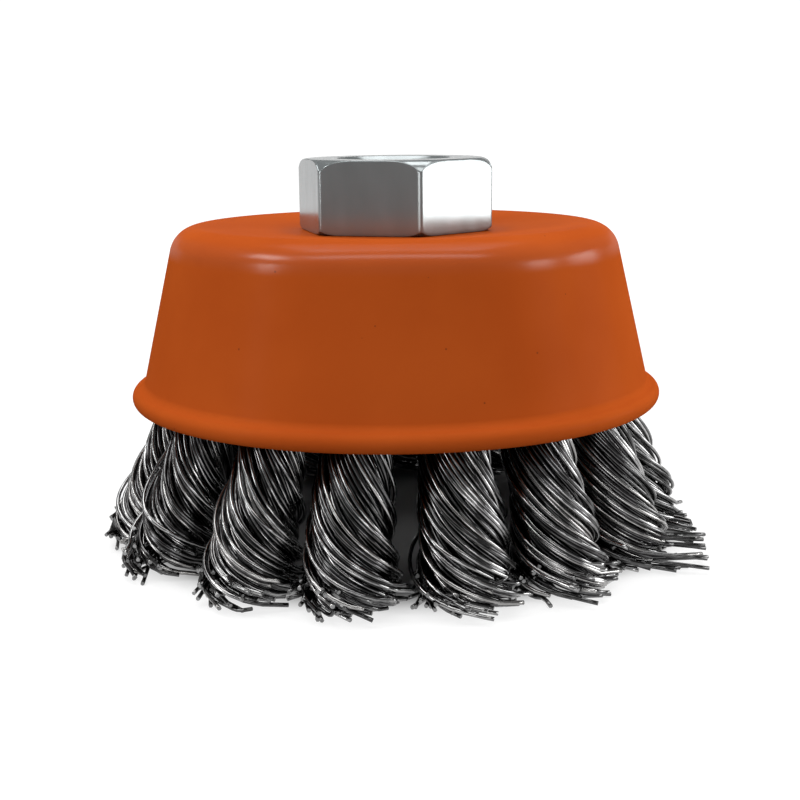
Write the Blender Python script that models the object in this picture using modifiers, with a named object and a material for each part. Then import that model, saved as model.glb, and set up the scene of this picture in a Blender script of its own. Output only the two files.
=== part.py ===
"""Twist-knot wire cup brush for an angle grinder, standing on its wire tips.

A pressed steel cup and a dished, pierced holder are clamped together by the swaged spigot of a
hexagon nut. Fifteen bundles of wire are each folded over the holder's edge, through their own
hole, and twisted into a knot that spreads towards its cut end.

Metres, +Z up along the spindle. The origin is on the surface under the wire tips, on the axis,
and -Y is the front.
"""

import math

import bmesh
import bpy
from mathutils import Matrix

MM = 0.001

# Distance kept between pieces that seat on each other, and from a knot to the cup's rim.
SEAT_GAP = 0.3 * MM
RIM_CLEARANCE = 0.6 * MM

# Cup: a top that falls a little to the nut's flat seat, a rounded shoulder, a tapered skirt and
# a rim folded outwards into a bead.
RIM_RADIUS = 33.6 * MM
CUP_DEPTH = 21.1 * MM
CUP_WALL = 1.2 * MM
CUP_TAPER = math.radians(12.95)
SHOULDER_RADIUS = 3.7 * MM
SEAT_RADIUS = 13.0 * MM
SEAT_DROP = 1.05 * MM
BEAD_RADIUS = 1.2 * MM
BEAD_NECK_RADIUS = 1.2 * MM

# Arbor nut: a hexagon turned round at its crown and foot, on a spigot whose end is swaged out.
NUT_ACROSS_FLATS = 22.0 * MM
NUT_HEIGHT = 8.85 * MM
NUT_TURN = math.radians(-75.3)
NUT_CORNER_RADIUS = 0.7 * MM
CROWN_EDGE_RADIUS = 1.8 * MM
FOOT_RADIUS = 11.7 * MM
FOOT_SLOPE = math.radians(30.0)
BORE_RADIUS = 5.92 * MM
BORE_CHAMFER = 1.3 * MM
SPIGOT_RADIUS = 8.4 * MM
SPIGOT_CLEARANCE = 0.3 * MM
SWAGED_LIP_RADIUS = 10.3 * MM
SWAGED_LIP_HEIGHT = 1.6 * MM
SWAGED_LIP_BEVEL = 0.5 * MM

# Holder: a dished plate whose flange carries one hole for each knot.
HOLDER_PLATE = 2.0 * MM
FLANGE_HEIGHT_OVER_RIM = 8.5 * MM
DISH_TOP_RADIUS = 13.4 * MM
DISH_FOOT_RADIUS = 15.2 * MM
DISH_BEND_RADIUS = 1.4 * MM
WEB_WIDTH = 1.8 * MM
LEG_CLEARANCE = 0.35 * MM

# Knots: two legs folded over the holder's edge, twisted to the left below it.
KNOT_COUNT = 15
FIRST_KNOT_ANGLE = math.radians(-99.9)
TRIM_LENGTH = 19.3 * MM
LEG_RADIUS = 2.2 * MM
ARCH_SINK = 0.45 * MM
LEG_ROOT = 0.8 * MM
TOP_MARGIN = 0.25 * MM
TOP_HALF_WIDTH = 2.9 * MM
KNOT_RIM_RADIUS = 3.9 * MM
KNOT_TIP_RADIUS = 6.4 * MM
KNOT_END_RADIUS = 5.4 * MM
KNOT_END_HEIGHT = 1.8 * MM
KNOT_LEAN = math.radians(16.8)
PLY_OVAL = 0.05
STRANDS = 8
STRAND_DEPTH_TOP = 0.06
STRAND_DEPTH_TIP = 0.20
LAY_TOP = math.radians(12.0)
LAY_TIP = math.radians(72.0)
LAY_GROWTH = 1.3

# Facets.
TURNED_STEPS = 42
HOLE_STEPS = 10
ARCH_STEPS = 5
KNOT_BANDS = 14
TWIST_SHARE = 0.7
LEVEL_SAMPLES = 150

# Heights and radii that follow from the sizes above.
RIM_Z = TRIM_LENGTH
CUP_TOP_Z = RIM_Z + CUP_DEPTH
CUP_SEAT_Z = CUP_TOP_Z - SEAT_DROP
BEAD_CENTRE_RADIUS = RIM_RADIUS - BEAD_RADIUS
NUT_SEAT_Z = CUP_SEAT_Z + SEAT_GAP
NUT_TOP_Z = NUT_SEAT_Z + NUT_HEIGHT
SPIGOT_HOLE_RADIUS = SPIGOT_RADIUS + SPIGOT_CLEARANCE
HOLDER_TOP_Z = CUP_SEAT_Z - CUP_WALL - SEAT_GAP
LIP_TOP_Z = HOLDER_TOP_Z - HOLDER_PLATE - SEAT_GAP
LIP_END_Z = LIP_TOP_Z - SWAGED_LIP_HEIGHT
FLANGE_LOW_Z = RIM_Z + FLANGE_HEIGHT_OVER_RIM
FLANGE_TOP_Z = FLANGE_LOW_Z + HOLDER_PLATE

# Colours from the photograph: satin orange paint, bright zinc, and oiled spring steel.
CUP_COLOUR = (0.47, 0.075, 0.012, 1.0)
NUT_COLOUR = (0.62, 0.62, 0.63, 1.0)
HOLDER_COLOUR = (0.32, 0.32, 0.33, 1.0)
WIRE_COLOUR = (0.11, 0.11, 0.115, 1.0)


def cup_wall_offset(inset):
    """Distance from the axis line to the skirt, along the skirt's normal, at inset from outside."""
    tangent_to_bead = BEAD_CENTRE_RADIUS * math.cos(CUP_TAPER) + RIM_Z * math.sin(CUP_TAPER)
    return tangent_to_bead - BEAD_RADIUS + CUP_WALL - inset


def cup_radius(height, inset=0.0):
    """Radius of the cup's skirt at a height, on its outside or inset from it."""
    return (cup_wall_offset(inset) - height * math.sin(CUP_TAPER)) / math.cos(CUP_TAPER)


# The holder's edge leaves room for the outer legs of the knots inside the cup.
HOLDER_RIM_RADIUS = cup_radius(FLANGE_TOP_Z, CUP_WALL) - 2 * SEAT_GAP - 2 * LEG_RADIUS
LEG_HOLE_RADIUS = LEG_RADIUS + LEG_CLEARANCE
HOLE_CIRCLE_RADIUS = HOLDER_RIM_RADIUS - WEB_WIDTH - LEG_HOLE_RADIUS
OUTER_LEG_RADIUS = HOLDER_RIM_RADIUS + SEAT_GAP + LEG_RADIUS
KNOT_TOP_RADIUS = (HOLE_CIRCLE_RADIUS + OUTER_LEG_RADIUS) / 2
LEG_OFFSET = (OUTER_LEG_RADIUS - HOLE_CIRCLE_RADIUS) / 2
KNOT_TOP_Z = FLANGE_LOW_Z - SEAT_GAP
KNOT_EXIT_Z = RIM_Z - BEAD_RADIUS
KNOT_EXIT_RADIUS = (cup_radius(RIM_Z, CUP_WALL) - RIM_CLEARANCE
                    - KNOT_RIM_RADIUS * (1 + PLY_OVAL))
KNOT_TIP_CENTRE_RADIUS = KNOT_EXIT_RADIUS + KNOT_EXIT_Z * math.tan(KNOT_LEAN)


def clear_scene():
    """Remove every object, so that the script can be run again in an open file."""
    for existing in list(bpy.data.objects):
        bpy.data.objects.remove(existing, do_unlink=True)


def make_collection(name):
    """A new collection linked to the scene."""
    collection = bpy.data.collections.new(name)
    bpy.context.scene.collection.children.link(collection)
    return collection


def metal(name, colour, metallic, roughness):
    """A Principled material with one colour."""
    material = bpy.data.materials.new(name)
    material.use_nodes = True
    shader = material.node_tree.nodes["Principled BSDF"]
    shader.inputs["Base Color"].default_value = colour
    shader.inputs["Metallic"].default_value = metallic
    shader.inputs["Roughness"].default_value = roughness
    return material


def add_object(name, mesh, collection, material=None):
    """A mesh object in a collection, shaded smooth up to its sharp edges."""
    made = bpy.data.objects.new(name, mesh)
    collection.objects.link(made)
    if material is not None and not mesh.materials:
        mesh.materials.append(material)
    return made


def hide_guide(guide):
    """Show a cutter or a guide as wires only, and keep it out of renders."""
    guide.hide_render = True
    guide.display_type = "WIRE"


def arc(centre, radius, start, end, steps):
    """Points on an arc from one angle to another, in the plane of a profile."""
    points = []
    for step in range(steps + 1):
        angle = start + (end - start) * step / steps
        points.append((centre[0] + radius * math.cos(angle), centre[1] + radius * math.sin(angle)))
    return points


def turned(name, profile, collection, material, closed):
    """Turn a profile of radius and height about Z; it runs down its outer side."""
    mesh = bpy.data.meshes.new(name)
    vertices = [(radius, 0.0, height) for radius, height in profile]
    edges = [(index, index + 1) for index in range(len(profile) - 1)]
    if closed:
        edges.append((len(profile) - 1, 0))
    mesh.from_pydata(vertices, edges, [])
    made = add_object(name, mesh, collection, material)
    screw = made.modifiers.new("Turn", "SCREW")
    screw.axis = "Z"
    screw.steps = TURNED_STEPS
    screw.render_steps = TURNED_STEPS
    screw.use_merge_vertices = True
    screw.merge_threshold = 0.000001
    screw.use_smooth_shade = True
    return made


def cut(target, tool, operation):
    """Add a Boolean modifier that works on the target with a closed tool."""
    boolean = target.modifiers.new(operation.title(), "BOOLEAN")
    boolean.operation = operation
    boolean.object = tool
    boolean.solver = "EXACT"


def cup_profile():
    """Closed section of the cup: seat, top, shoulder, skirt, bead, then back up inside."""
    normal = (math.cos(CUP_TAPER), math.sin(CUP_TAPER))
    skirt = cup_wall_offset(0.0)
    shoulder_z = CUP_TOP_Z - SHOULDER_RADIUS
    shoulder = ((skirt - SHOULDER_RADIUS - shoulder_z * normal[1]) / normal[0], shoulder_z)
    to_shoulder = (shoulder[0] - SEAT_RADIUS, shoulder_z - CUP_SEAT_Z)
    top_slope = (math.atan2(to_shoulder[1], to_shoulder[0])
                 + math.asin(SHOULDER_RADIUS / math.hypot(to_shoulder[0], to_shoulder[1])))
    shoulder_start = math.pi / 2 + top_slope
    seat_inside = SEAT_RADIUS + CUP_WALL * math.tan(top_slope / 2)
    bead = (BEAD_CENTRE_RADIUS, RIM_Z)
    reach = BEAD_RADIUS + BEAD_NECK_RADIUS
    bead_offset = bead[0] * normal[0] + bead[1] * normal[1]
    neck_angle = CUP_TAPER + math.acos((skirt + BEAD_NECK_RADIUS - bead_offset) / reach)
    neck = (bead[0] + reach * math.cos(neck_angle), bead[1] + reach * math.sin(neck_angle))
    inner_radius = SHOULDER_RADIUS - CUP_WALL
    profile = [(SPIGOT_HOLE_RADIUS, CUP_SEAT_Z), (SEAT_RADIUS, CUP_SEAT_Z)]
    profile += arc(shoulder, SHOULDER_RADIUS, shoulder_start, CUP_TAPER, 4)
    profile += arc(neck, BEAD_NECK_RADIUS, math.pi + CUP_TAPER, math.pi + neck_angle, 2)
    profile += arc(bead, BEAD_RADIUS, neck_angle, CUP_TAPER - math.pi, 6)[1:]
    profile += arc(shoulder, inner_radius, CUP_TAPER, shoulder_start, 2)
    profile.append((seat_inside, CUP_SEAT_Z - CUP_WALL))
    profile.append((SPIGOT_HOLE_RADIUS, CUP_SEAT_Z - CUP_WALL))
    return profile


def make_cup(collection, material):
    """The pressed bell, one sheet with a folded rim."""
    return turned("cup", cup_profile(), collection, material, closed=True)


def make_arbor_nut(collection, cutters, material):
    """Turned from hexagon bar: the turned blank and the bar's hexagon share one solid."""
    corner_radius = NUT_ACROSS_FLATS / math.sqrt(3)
    crown_edge = (corner_radius - CROWN_EDGE_RADIUS, NUT_TOP_Z - CROWN_EDGE_RADIUS)
    foot_rise = (corner_radius - FOOT_RADIUS) * math.tan(FOOT_SLOPE)
    profile = [(BORE_RADIUS + BORE_CHAMFER, NUT_TOP_Z)]
    profile += arc(crown_edge, CROWN_EDGE_RADIUS, math.pi / 2, 0.0, 3)
    profile += [
        (corner_radius, NUT_SEAT_Z + foot_rise),
        (FOOT_RADIUS, NUT_SEAT_Z),
        (SPIGOT_RADIUS, NUT_SEAT_Z),
        (SPIGOT_RADIUS, LIP_TOP_Z),
        (SWAGED_LIP_RADIUS, LIP_TOP_Z),
        (SWAGED_LIP_RADIUS, LIP_END_Z + SWAGED_LIP_BEVEL),
        (SWAGED_LIP_RADIUS - SWAGED_LIP_BEVEL, LIP_END_Z),
        (BORE_RADIUS + SWAGED_LIP_BEVEL, LIP_END_Z),
        (BORE_RADIUS, LIP_END_Z + SWAGED_LIP_BEVEL),
        (BORE_RADIUS, NUT_TOP_Z - BORE_CHAMFER),
    ]
    nut = turned("arbor_nut", profile, collection, material, closed=True)

    bar_length = 2 * (NUT_TOP_Z - LIP_END_Z)
    bar_shape = bmesh.new()
    bmesh.ops.create_cone(bar_shape, cap_ends=True, segments=6, depth=bar_length,
                          radius1=corner_radius, radius2=corner_radius)
    bar_shape.verts.ensure_lookup_table()
    first_corner = bar_shape.verts[0].co
    turn = NUT_TURN - math.atan2(first_corner.y, first_corner.x)
    bmesh.ops.transform(bar_shape, matrix=Matrix.Rotation(turn, 4, "Z"), verts=bar_shape.verts)
    bar_mesh = bpy.data.meshes.new("hexagon_bar")
    bar_shape.to_mesh(bar_mesh)
    bar_shape.free()
    bar = add_object("hexagon_bar", bar_mesh, cutters)
    bar.location.z = (NUT_TOP_Z + LIP_END_Z) / 2
    bevel = bar.modifiers.new("Corners", "BEVEL")
    bevel.width = NUT_CORNER_RADIUS * math.tan(math.pi / 6)
    bevel.segments = 2
    hide_guide(bar)
    cut(nut, bar, "INTERSECT")
    return nut


def bend(before, corner, after, radius, steps):
    """Arc that rounds one corner of a profile."""
    into = math.atan2(before[1] - corner[1], before[0] - corner[0])
    away = math.atan2(after[1] - corner[1], after[0] - corner[0])
    half = ((away - into + math.pi) % (2 * math.pi) - math.pi) / 2
    middle = into + half
    distance = radius / abs(math.sin(half))
    centre = (corner[0] + distance * math.cos(middle), corner[1] + distance * math.sin(middle))
    side = math.copysign(math.pi / 2, half)
    start = into - side
    turn = math.copysign(math.pi, half) - 2 * half
    return arc(centre, radius, start, start - turn, steps)


def make_knot_holder(collection, cutters, material):
    """The dished plate, turned as a thin sheet, thickened, and pierced for the knots."""
    centre = (SPIGOT_HOLE_RADIUS, HOLDER_TOP_Z)
    dish_top = (DISH_TOP_RADIUS, HOLDER_TOP_Z)
    dish_foot = (DISH_FOOT_RADIUS, FLANGE_TOP_Z)
    edge = (HOLDER_RIM_RADIUS, FLANGE_TOP_Z)
    profile = [centre]
    profile += bend(centre, dish_top, dish_foot, DISH_BEND_RADIUS + HOLDER_PLATE, 2)
    profile += bend(dish_top, dish_foot, edge, DISH_BEND_RADIUS, 1)
    profile.append(edge)
    holder = turned("knot_holder", profile, collection, material, closed=False)
    solidify = holder.modifiers.new("Plate", "SOLIDIFY")
    solidify.thickness = HOLDER_PLATE
    solidify.offset = -1.0
    solidify.use_even_offset = True

    drills = bmesh.new()
    for number in range(KNOT_COUNT):
        angle = FIRST_KNOT_ANGLE + 2 * math.pi * number / KNOT_COUNT
        place = Matrix.Translation((HOLE_CIRCLE_RADIUS * math.cos(angle),
                                    HOLE_CIRCLE_RADIUS * math.sin(angle),
                                    (FLANGE_LOW_Z + FLANGE_TOP_Z) / 2))
        bmesh.ops.create_cone(drills, cap_ends=True, segments=HOLE_STEPS, radius1=LEG_HOLE_RADIUS,
                              radius2=LEG_HOLE_RADIUS, depth=2 * HOLDER_PLATE, matrix=place)
    drill_mesh = bpy.data.meshes.new("leg_holes")
    drills.to_mesh(drill_mesh)
    drills.free()
    leg_holes = add_object("leg_holes", drill_mesh, cutters)
    hide_guide(leg_holes)
    cut(holder, leg_holes, "DIFFERENCE")
    return holder


def knot_centre(height):
    """Distance of a knot's middle from the brush's axis: one curve from holder to rim to tip."""
    stations = [(KNOT_TOP_Z, KNOT_TOP_RADIUS), (KNOT_EXIT_Z, KNOT_EXIT_RADIUS),
                (0.0, KNOT_TIP_CENTRE_RADIUS)]
    total = 0.0
    for own, (own_z, radius) in enumerate(stations):
        weight = 1.0
        for other, (other_z, _) in enumerate(stations):
            if other != own:
                weight *= (height - other_z) / (own_z - other_z)
        total += radius * weight
    return total


def knot_half_widths(height):
    """Half widths of a knot across its plies and along them, at a height."""
    if height > KNOT_EXIT_Z:
        share = (KNOT_TOP_Z - height) / (KNOT_TOP_Z - KNOT_EXIT_Z)
        blend = share * share * (3 - 2 * share)
        long_top = LEG_OFFSET + LEG_RADIUS + TOP_MARGIN
        long_side = long_top + (KNOT_RIM_RADIUS * (1 + PLY_OVAL) - long_top) * blend
        short_side = TOP_HALF_WIDTH + (KNOT_RIM_RADIUS * (1 - PLY_OVAL) - TOP_HALF_WIDTH) * blend
        return long_side, short_side
    if height < KNOT_END_HEIGHT:
        share = height / KNOT_END_HEIGHT
        radius = KNOT_END_RADIUS + (KNOT_TIP_RADIUS - KNOT_END_RADIUS) * share
        return radius, radius
    share = (KNOT_EXIT_Z - height) / (KNOT_EXIT_Z - KNOT_END_HEIGHT)
    radius = KNOT_RIM_RADIUS + (KNOT_TIP_RADIUS - KNOT_RIM_RADIUS) * share
    oval = PLY_OVAL * (1 - share)
    return radius * (1 + oval), radius * (1 - oval)


def knot_twist(height):
    """Angle the strands have turned by, seen from above, on their way down to a height."""
    steps = 60
    slice_height = (KNOT_TOP_Z - height) / steps
    turned_by = 0.0
    for step in range(steps):
        level = KNOT_TOP_Z - slice_height * (step + 0.5)
        share = 1 - level / KNOT_TOP_Z
        lay = LAY_TOP + (LAY_TIP - LAY_TOP) * share ** LAY_GROWTH
        turned_by += math.tan(lay) * slice_height / (sum(knot_half_widths(level)) / 2)
    return turned_by


def knot_ring(height, depth):
    """Points of one level section: a rounded star whose rays are the strands."""
    long_side, short_side = knot_half_widths(height)
    twist = knot_twist(height)
    points = []
    for index in range(2 * STRANDS):
        own = math.pi * index / STRANDS
        size = 1.0 if index % 2 == 0 else 1.0 - depth
        along = long_side * size * math.cos(own)
        across = short_side * size * math.sin(own)
        points.append((knot_centre(height) + along * math.cos(twist) - across * math.sin(twist),
                       along * math.sin(twist) + across * math.cos(twist), height))
    return points


def knot_levels():
    """Heights of the sections, closer together where the strands turn faster."""
    full_twist = knot_twist(KNOT_END_HEIGHT)
    fall = KNOT_TOP_Z - KNOT_END_HEIGHT
    levels = [KNOT_TOP_Z]
    for sample in range(1, LEVEL_SAMPLES):
        share = sample / LEVEL_SAMPLES
        height = KNOT_TOP_Z - fall * share
        progress = TWIST_SHARE * knot_twist(height) / full_twist + (1 - TWIST_SHARE) * share
        if progress >= len(levels) / (KNOT_BANDS - 1):
            levels.append(height)
    return levels + [KNOT_END_HEIGHT, 0.0]


def make_knot_body():
    """Loft of the twisted part, from the flat pair of legs to the spread end."""
    levels = knot_levels()
    body = bmesh.new()
    rings = []
    for level in levels:
        share = 1 - level / KNOT_TOP_Z
        depth = STRAND_DEPTH_TOP + (STRAND_DEPTH_TIP - STRAND_DEPTH_TOP) * share
        if level == KNOT_TOP_Z:
            depth = 0.0
        rings.append([body.verts.new(point) for point in knot_ring(level, depth)])
    for upper, lower in zip(rings, rings[1:]):
        for index in range(len(upper)):
            after = (index + 1) % len(upper)
            body.faces.new((upper[index], lower[index], lower[after], upper[after]))
    body.faces.new(rings[0])
    body.faces.new(reversed(rings[-1]))
    mesh = bpy.data.meshes.new("knot_body")
    body.to_mesh(mesh)
    body.free()
    return mesh


def make_leg_loop(cutters):
    """The bundle folded over the holder's edge, as a mesh made from a bevelled curve."""
    foot_z = KNOT_TOP_Z - LEG_ROOT
    arch_z = FLANGE_TOP_Z - ARCH_SINK
    route = [(HOLE_CIRCLE_RADIUS, foot_z)]
    route += arc((KNOT_TOP_RADIUS, arch_z), LEG_OFFSET, math.pi, 0.0, ARCH_STEPS)
    route.append((OUTER_LEG_RADIUS, foot_z))
    curve = bpy.data.curves.new("leg_loop", "CURVE")
    curve.dimensions = "3D"
    curve.bevel_depth = LEG_RADIUS
    curve.bevel_resolution = 2
    curve.use_fill_caps = True
    spline = curve.splines.new("POLY")
    spline.points.add(len(route) - 1)
    for point, (radius, height) in zip(spline.points, route):
        point.co = (radius, 0.0, height, 1.0)
    tube = bpy.data.objects.new("leg_loop_curve", curve)
    cutters.objects.link(tube)
    bpy.context.view_layer.update()
    evaluated = tube.evaluated_get(bpy.context.evaluated_depsgraph_get())
    mesh = bpy.data.meshes.new_from_object(evaluated)
    welder = bmesh.new()
    welder.from_mesh(mesh)
    bmesh.ops.remove_doubles(welder, verts=welder.verts, dist=0.000001)
    bmesh.ops.recalc_face_normals(welder, faces=welder.faces)
    welder.to_mesh(mesh)
    welder.free()
    loop = add_object("leg_loop", mesh, cutters)
    loop.matrix_world = tube.matrix_world
    bpy.data.objects.remove(tube, do_unlink=True)
    hide_guide(loop)
    return loop


def make_knots(collection, cutters, material):
    """One knot mesh, joined from its loop and its twisted body, placed round the holder."""
    loop = make_leg_loop(cutters)
    pattern = add_object("knot_pattern", make_knot_body(), cutters, material)
    hide_guide(pattern)
    cut(pattern, loop, "UNION")
    bpy.context.view_layer.update()
    evaluated = pattern.evaluated_get(bpy.context.evaluated_depsgraph_get())
    mesh = bpy.data.meshes.new_from_object(evaluated)
    mesh.name = "knot"
    mesh.shade_smooth()
    mesh.set_sharp_from_angle(angle=math.radians(50))
    for number in range(KNOT_COUNT):
        knot = add_object(f"knot_{number + 1:02d}", mesh, collection, material)
        knot.rotation_euler.z = FIRST_KNOT_ANGLE + 2 * math.pi * number / KNOT_COUNT


clear_scene()
brush = make_collection("wire_cup_brush")
tools = make_collection("cutters")
make_arbor_nut(brush, tools, metal("nut_zinc", NUT_COLOUR, 1.0, 0.32))
make_cup(brush, metal("cup_paint", CUP_COLOUR, 0.0, 0.35))
make_knot_holder(brush, tools, metal("holder_steel", HOLDER_COLOUR, 1.0, 0.45))
make_knots(brush, tools, metal("knot_wire", WIRE_COLOUR, 1.0, 0.35))
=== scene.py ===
"""Looks of the twist-knot wire cup brush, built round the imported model.

Metres, +Z up along the spindle, the origin on the surface under the wire tips, -Y the front.
Each section makes one piece in millimetres, in the order in which a brush is put together.
"""

import math

import bpy
import numpy as np
from mathutils import Matrix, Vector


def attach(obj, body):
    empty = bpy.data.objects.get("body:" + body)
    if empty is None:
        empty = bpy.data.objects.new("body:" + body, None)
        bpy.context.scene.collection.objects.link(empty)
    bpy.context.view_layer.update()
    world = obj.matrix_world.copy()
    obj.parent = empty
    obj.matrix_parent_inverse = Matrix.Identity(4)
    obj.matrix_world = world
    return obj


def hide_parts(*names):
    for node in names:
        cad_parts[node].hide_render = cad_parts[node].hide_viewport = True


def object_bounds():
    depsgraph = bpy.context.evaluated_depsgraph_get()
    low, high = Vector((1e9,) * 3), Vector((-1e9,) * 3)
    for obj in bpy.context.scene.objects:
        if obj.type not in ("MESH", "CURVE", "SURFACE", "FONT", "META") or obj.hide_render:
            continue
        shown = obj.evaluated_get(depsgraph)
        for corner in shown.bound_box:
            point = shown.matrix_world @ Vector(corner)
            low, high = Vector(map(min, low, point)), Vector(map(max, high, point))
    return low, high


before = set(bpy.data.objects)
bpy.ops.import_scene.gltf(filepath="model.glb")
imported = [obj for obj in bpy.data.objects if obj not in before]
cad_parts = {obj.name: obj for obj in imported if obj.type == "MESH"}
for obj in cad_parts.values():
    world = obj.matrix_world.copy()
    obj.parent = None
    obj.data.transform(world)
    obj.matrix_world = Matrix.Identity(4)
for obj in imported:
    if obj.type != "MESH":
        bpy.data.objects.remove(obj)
cad_low, cad_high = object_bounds()

# Knot holder
# A round plate of plain steel sheet, dished and pierced, that sits inside the cup and carries
# one knot in each hole. It is left as it comes from the press, dull grey with rolling marks.

HOLDER_GREY_LOW = (0.16, 0.16, 0.165, 1.0)
HOLDER_GREY_HIGH = (0.34, 0.34, 0.345, 1.0)


def new_finish(name, metallic):
    """A material with its node tree and its shader."""
    finish = bpy.data.materials.new(name)
    finish.use_nodes = True
    tree = finish.node_tree
    shader = tree.nodes["Principled BSDF"]
    shader.inputs["Metallic"].default_value = metallic
    return finish, tree, shader


def cloud(tree, grain, detail=3.0, stretch=(1.0, 1.0, 1.0)):
    """Noise fixed to the brush, with grain in spots per metre."""
    place = tree.nodes.new("ShaderNodeTexCoord")
    scale = tree.nodes.new("ShaderNodeMapping")
    scale.inputs["Scale"].default_value = stretch
    tree.links.new(place.outputs["Object"], scale.inputs["Vector"])
    noise = tree.nodes.new("ShaderNodeTexNoise")
    noise.inputs["Scale"].default_value = grain
    noise.inputs["Detail"].default_value = detail
    tree.links.new(scale.outputs["Vector"], noise.inputs["Vector"])
    return noise.outputs["Fac"]


def tint(tree, shader, source, stops):
    """Base colour read from a ramp of (place, colour) stops."""
    ramp = tree.nodes.new("ShaderNodeValToRGB")
    marks = ramp.color_ramp.elements
    while len(marks) < len(stops):
        marks.new(0.5)
    for mark, (place, colour) in zip(marks, stops):
        mark.position = place
        mark.color = colour
    tree.links.new(source, ramp.inputs["Fac"])
    tree.links.new(ramp.outputs["Color"], shader.inputs["Base Color"])


def sheen_range(tree, shader, source, low, high):
    """Roughness that follows a noise, from low to high."""
    spread = tree.nodes.new("ShaderNodeMapRange")
    spread.inputs["From Min"].default_value = 0.3
    spread.inputs["From Max"].default_value = 0.7
    spread.inputs["To Min"].default_value = low
    spread.inputs["To Max"].default_value = high
    tree.links.new(source, spread.inputs["Value"])
    tree.links.new(spread.outputs["Result"], shader.inputs["Roughness"])


def relief(tree, shader, source, depth):
    """Fine bumps of a depth in metres."""
    bump = tree.nodes.new("ShaderNodeBump")
    bump.inputs["Strength"].default_value = 1.0
    bump.inputs["Distance"].default_value = depth
    tree.links.new(source, bump.inputs["Height"])
    tree.links.new(bump.outputs["Normal"], shader.inputs["Normal"])


pressed_steel, tree, shader = new_finish("pressed_steel", 1.0)
tint(tree, shader, cloud(tree, 260.0), [(0.35, HOLDER_GREY_LOW), (0.65, HOLDER_GREY_HIGH)])
sheen_range(tree, shader, cloud(tree, 900.0), 0.35, 0.55)
relief(tree, shader, cloud(tree, 700.0, 4.0, (0.2, 3.0, 1.0)), 0.00002)
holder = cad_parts["knot_holder"]
holder.data.materials.clear()
holder.data.materials.append(pressed_steel)

# Knots
# Fifteen bundles of 0.5 mm spring steel wire, dark with oil; the wires that lie deep in the rope
# are mostly given the darkest finish as painted shade. Each wire is a hairpin folded over the
# holder's edge through its hole. The two legs are twisted to the left into one rope, which
# spreads towards its cut end, where the ends spring apart.

KNOT_COUNT = 15
FIRST_KNOT_ANGLE = math.radians(-99.9)
KNOT_TOP_Z = 27.5
KNOT_EXIT_Z = 18.1
KNOT_END_Z = 1.8
KNOT_TOP_RADIUS = 22.829
KNOT_EXIT_RADIUS = 26.474
KNOT_TIP_CENTRE_RADIUS = 31.938
LEG_OFFSET = 3.425
LEG_RADIUS = 2.2
ARCH_Z = 29.35
TOP_LONG = 5.875
TOP_SHORT = 2.9
RIM_HALF_WIDTH = 3.9
TIP_HALF_WIDTH = 6.4
END_HALF_WIDTH = 5.4
PLY_OVAL = 0.05
LAY_TOP = math.radians(12.0)
LAY_TIP = math.radians(80.0)
LAY_GROWTH = 1.3
PLIES = 8
WIRE_RADIUS = 0.25
WIRE_SIDES = 6
ROPE_STEPS = 400
BODY_POINTS = 36
CUT_POINTS = 4
ARCH_POINTS = 9
# Wires in each layer of the rope, from the outside in, and how deep the layer lies.
LAYERS = [(20, 0.0), (16, 0.62), (10, 1.25), (4, 2.6)]
OUTER_DEPTH = 0.2
SPACING_NOISE = 0.25
# The outer wires take turns: every second one sinks between its neighbours towards the tip.
SUNK_WIRE_DEPTH = 0.42
SUNK_WIRE_START = 0.35
SUNK_WIRE_RUN = 0.35
# How deep the grooves between plies are, how wide their floor is, and how far wires crowd
# together on each ply.
FLUTE_TOP = 0.08
FLUTE_GROWTH = 0.22
FLUTE_SHAPE = 1.6
PLY_CROWDING = 0.030
ROPE_FIT = 0.985
LEAST_REACH = 0.2
# How far a wire wanders sideways and in and out on its way, and how unlike each other the
# plies of a knot are in width and in height.
WANDER_WAVES = (1.1, 2.3)
WANDER = 0.03
LIFT = 0.08
PLY_UNEVEN = (0.16, 0.10)
ROPE_SWELL = (0.20, 0.16)
# A wire lies loosely after this share of its way down.
SETTLED_SHARE = 0.35
# How its points are spread over the way: by twist and by height.
POINTS_BY_TWIST = 0.7
POINTS_BY_FALL = 0.3
# How much narrower the bundle of a leg is on the side where the two legs meet.
LEG_SPLIT = 0.45
# Between these heights the flat pair of legs closes into the round rope.
GATHER_Z = 21.0
GATHER_LENGTH = 6.0
# Wires are cut between the first height and the sum of both.
CUT_LOW_Z = 0.7
CUT_RANGE_Z = 3.8
CUT_BIAS = 1.3
# A few wires ride over their neighbours in the twist, or are bowed off the rope at BOW_Z.
RIDING_SHARE = 0.10
RIDE_REACH = 0.14
RIDE_LIFT = 2.0
BOW_Z = 8.0
BOW_LENGTH = 3.2
# The cut ends: how unevenly they point, how far they lean out, how steeply they may drop, and
# the shares that sweep off with the flare, stick out as strays, or are bent into a hook.
END_SCATTER = np.array([0.14, 0.14, 0.10])
END_LEAN = 0.35
END_STEEPEST = -0.16
END_LENGTH = 1.0
END_LENGTH_RANGE = 1.8
SWEPT_SHARE = 0.6
SWEEP_TURN = 0.10
STRAY_SHARE = 0.07
STRAY_LENGTH = 2.2
HOOKED_SHARE = 0.05
HOOK_REACH = 0.5
HOOK_BEND = 1.4
# Shares of oily, plain and worn wires. Wires that lie deep take the dark oily finish more often,
# as painted shade between the wires.
TONE_SHARES = [0.30, 0.45, 0.25]
DEEP_SHADED_SHARE = 0.75
# The wires stay this far inside the solids' box, and bend back over this length.
BOX_MARGIN = 0.02
BOX_EASE = 0.6
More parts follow.
